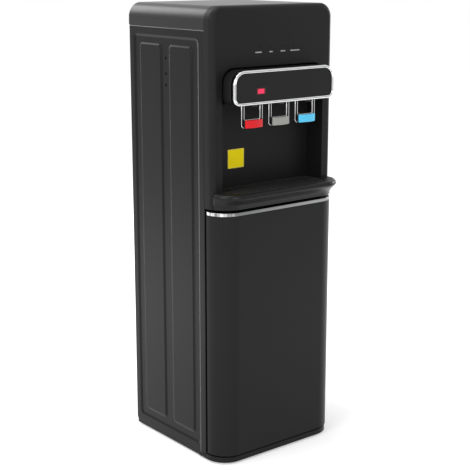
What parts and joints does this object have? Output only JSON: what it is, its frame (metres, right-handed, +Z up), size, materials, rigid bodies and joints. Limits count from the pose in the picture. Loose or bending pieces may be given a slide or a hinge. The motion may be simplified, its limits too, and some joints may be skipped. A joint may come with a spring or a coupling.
{
  "type": "water dispenser",
  "caption": "Floor-standing bottom-loading water dispenser with push levers for hot, room and cold water, a sliding drip tray, a hinged bottle door and a rear condenser.",
  "frame": {"origin": "centre of the overall footprint, on the floor under the feet", "axes": "+Z up, -Y towards the user in front, +X to the right seen from the front"},
  "size_m": [0.325, 0.3594, 0.964],
  "materials": {
    "black_plastic": "fine-grained charcoal moulding",
    "door_plastic": "satin charcoal moulding",
    "liner_plastic": "plain inner moulding",
    "gloss_black": "piano-black front plate",
    "side_steel": "satin charcoal powder coat",
    "rear_steel": "charcoal powder coat",
    "chrome": "bright plated",
    "steel": "plain steel",
    "zinc": "galvanised sheet",
    "copper": "drawn copper",
    "rubber": "moulded rubber",
    "red_plastic": "coloured moulding",
    "grey_plastic": "coloured moulding",
    "blue_plastic": "coloured moulding",
    "green_plastic": "coloured moulding",
    "red_window": "lit window",
    "lens": "smoked lens",
    "board": "circuit board",
    "nozzle_plastic": "plain black moulding",
    "foam": "expanded foam",
    "silicone": "silicone hose",
    "compressor_paint": "black enamel",
    "condenser_paint": "black enamel"
  },
  "bodies": {
    "cabinet": {"base_pan": "black_plastic", "feet": "rubber", "left_side_panel": "side_steel", "right_side_panel": "side_steel", "rear_panel": "rear_steel", "rear_panel_screws": "zinc", "top_cover": "black_plastic", "front_fascia": "black_plastic", "indicator_lenses": "lens", "indicator_board": "board", "alcove_liner": "black_plastic", "head_bezel": "chrome", "head_housing": "black_plastic", "lever_shaft": "steel", "head_plate": "gloss_black", "display_window": "red_window", "hot_spout": "chrome", "room_spout": "chrome", "cold_spout": "chrome", "lever_switches": "nozzle_plastic", "lower_hinge_pin": "steel", "upper_hinge_bracket": "steel", "upper_hinge_pin": "steel", "mid_deck": "zinc", "tank_shelf": "zinc", "cold_tank": "steel", "evaporator_coil": "copper", "cold_tank_insulation": "foam", "cold_tank_lid": "foam", "hot_tank": "steel", "hot_tank_insulation": "foam", "water_pump": "nozzle_plastic", "suction_fitting": "nozzle_plastic", "hot_pipe": "silicone", "room_pipe": "silicone", "cold_pipe": "silicone", "compressor": "compressor_paint", "compressor_grommets": "rubber", "discharge_line": "copper", "condenser_tube": "condenser_paint", "condenser_wires": "condenser_paint", "condenser_brackets": "nozzle_plastic", "switch_housings": "nozzle_plastic", "cable_gland": "nozzle_plastic", "control_box": "nozzle_plastic"},
    "door": {"door_panel": "door_plastic", "door_trim": "chrome", "door_liner": "liner_plastic", "door_magnet": "rubber"},
    "drip_tray": {"drip_tray": "black_plastic"},
    "drip_grille": {"drip_grille": "black_plastic"},
    "heat_rocker": {"heat_rocker": "red_plastic"},
    "cool_rocker": {"cool_rocker": "green_plastic"},
    "drain_cap": {"drain_cap": "nozzle_plastic"},
    "hot_lever": {"hot_lever_frame": "chrome", "hot_paddle": "red_plastic"},
    "room_lever": {"room_lever_frame": "chrome", "room_paddle": "grey_plastic"},
    "cold_lever": {"cold_lever_frame": "chrome", "cold_paddle": "blue_plastic"}
  },
  "joints": [
    {"name": "door_hinge", "type": "hinge", "parent": "cabinet", "child": "door", "pos_m": [0.1505, -0.1312, 0.0195], "axis": [0, 0, 1], "range_deg": [0, 110]},
    {"name": "drip_tray_slide", "type": "slide", "parent": "cabinet", "child": "drip_tray", "axis": [0, -1, 0], "range_m": [0, 0.1]},
    {"name": "drip_grille_lift", "type": "slide", "parent": "drip_tray", "child": "drip_grille", "axis": [0, 0, 1], "range_m": [0, 0.05]},
    {"name": "hot_lever_push", "type": "hinge", "parent": "cabinet", "child": "hot_lever", "pos_m": [-0.071, -0.1417, 0.78], "axis": [1, 0, 0], "range_deg": [0, 10], "stiffness_Nm_per_rad": 1.2},
    {"name": "room_lever_push", "type": "hinge", "parent": "cabinet", "child": "room_lever", "pos_m": [0.001, -0.1417, 0.78], "axis": [1, 0, 0], "range_deg": [0, 10], "stiffness_Nm_per_rad": 1.2},
    {"name": "cold_lever_push", "type": "hinge", "parent": "cabinet", "child": "cold_lever", "pos_m": [0.073, -0.1417, 0.78], "axis": [1, 0, 0], "range_deg": [0, 10], "stiffness_Nm_per_rad": 1.2},
    {"name": "heat_rocker_press", "type": "hinge", "parent": "cabinet", "child": "heat_rocker", "pos_m": [0.07, 0.1625, 0.824], "axis": [1, 0, 0], "range_deg": [0, 16]},
    {"name": "cool_rocker_press", "type": "hinge", "parent": "cabinet", "child": "cool_rocker", "pos_m": [0.104, 0.1625, 0.824], "axis": [1, 0, 0], "range_deg": [0, 16]},
    {"name": "drain_cap_turn", "type": "hinge", "parent": "cabinet", "child": "drain_cap", "pos_m": [0.0855, 0.1635, 0.574], "axis": [0, 1, 0], "continuous": true}
  ]
}
